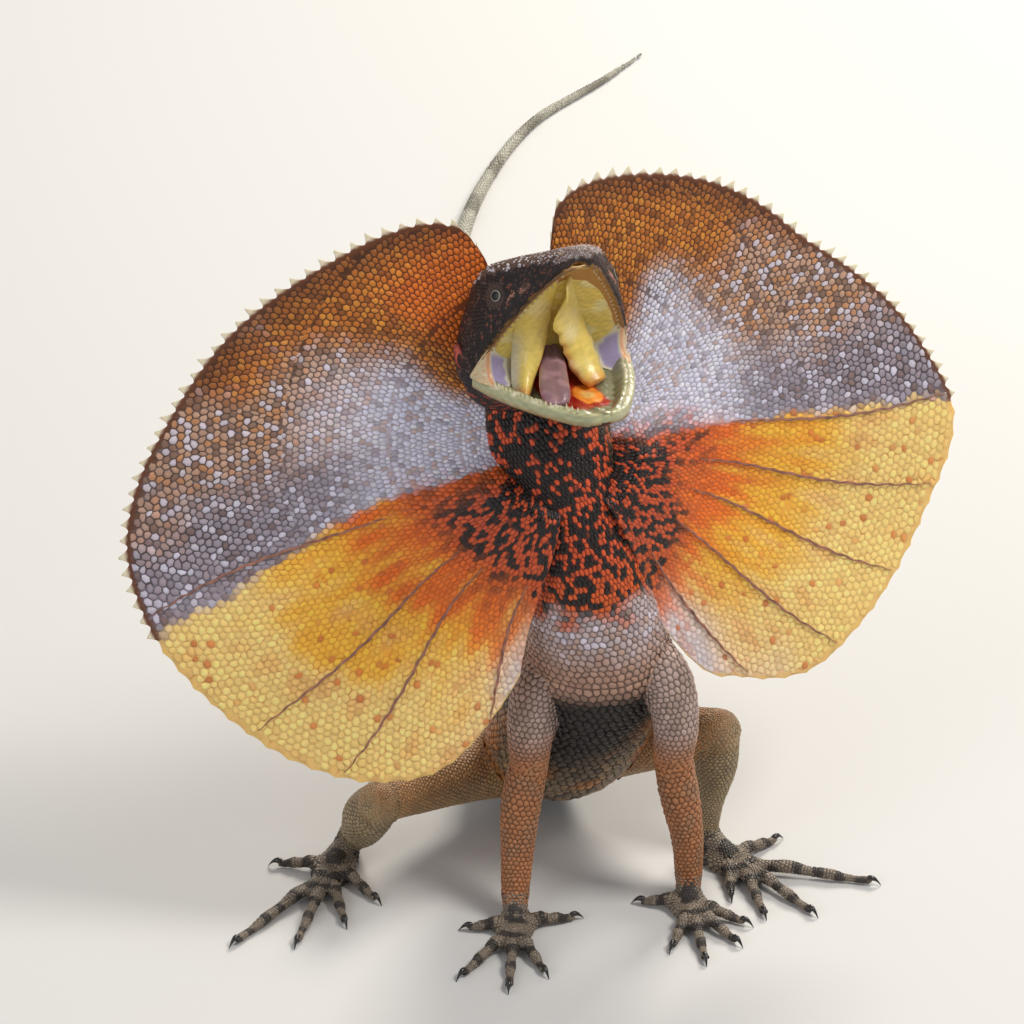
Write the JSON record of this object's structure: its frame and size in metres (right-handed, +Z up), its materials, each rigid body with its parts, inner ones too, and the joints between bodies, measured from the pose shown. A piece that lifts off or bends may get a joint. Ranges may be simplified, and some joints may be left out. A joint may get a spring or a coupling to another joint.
{
  "type": "frilled lizard",
  "caption": "Life-size still model of a frilled lizard rearing on its forelegs with frill spread wide, mouth gaping and long tail laid along the floor.",
  "frame": {"origin": "on the floor, under the middle of the animal's bounding box", "axes": "+Z up, -Y the way the animal faces, +X the animal's left side; the tail runs back along +Y"},
  "size_m": [0.26, 0.6414, 0.2393],
  "materials": {
    "head_skin": "dark brown scaled skin with small reddish-tan scales",
    "mouth_lining": "moist yellow mouth lining and pale jaw rims",
    "tongue_skin": "moist mauve tongue",
    "eye_surface": "dark wet eye",
    "eardrum_skin": "thin reddish eardrum",
    "throat_skin": "orange-red scaled skin with black spots",
    "chest_skin": "pale lavender-grey scaled skin with dark borders",
    "belly_skin": "near-black scaled skin",
    "flank_skin": "brown scaled skin",
    "tail_skin": "pale grey scaled skin",
    "foreleg_skin": "orange scales with black borders",
    "hind_leg_skin": "brown-orange scaled skin",
    "foot_skin": "dark grey-brown banded scales",
    "claw_horn": "glossy black horn",
    "tooth_ivory": "ivory tooth",
    "frill_crown_skin": "orange-brown scaled membrane",
    "frill_grey_skin": "lavender-grey scaled membrane",
    "frill_orange_skin": "bright orange and yellow scaled membrane"
  },
  "bodies": {
    "root": {"head": "head_skin", "lower_jaw": "mouth_lining", "tongue": "tongue_skin", "eye_left": "eye_surface", "eye_right": "eye_surface", "ear_left": "eardrum_skin", "ear_right": "eardrum_skin", "neck": "throat_skin", "chest": "chest_skin", "belly": "belly_skin", "pelvis": "flank_skin", "tail_base": "tail_skin", "tail_front": "tail_skin", "tail_middle": "tail_skin", "tail_rear": "tail_skin", "tail_tip": "tail_skin", "upper_arm_left": "chest_skin", "forearm_left": "foreleg_skin", "hand_left": "foot_skin", "thigh_left": "hind_leg_skin", "shank_left": "hind_leg_skin", "foot_left": "foot_skin", "frill_left_crown": "frill_crown_skin", "frill_left_side": "frill_grey_skin", "frill_left_low": "frill_orange_skin", "frill_left_throat": "frill_orange_skin", "upper_arm_right": "chest_skin", "forearm_right": "foreleg_skin", "hand_right": "foot_skin", "thigh_right": "hind_leg_skin", "shank_right": "hind_leg_skin", "foot_right": "foot_skin", "frill_right_crown": "frill_crown_skin", "frill_right_side": "frill_grey_skin", "frill_right_low": "frill_orange_skin", "frill_right_throat": "frill_orange_skin"}
  },
  "joints": []
}
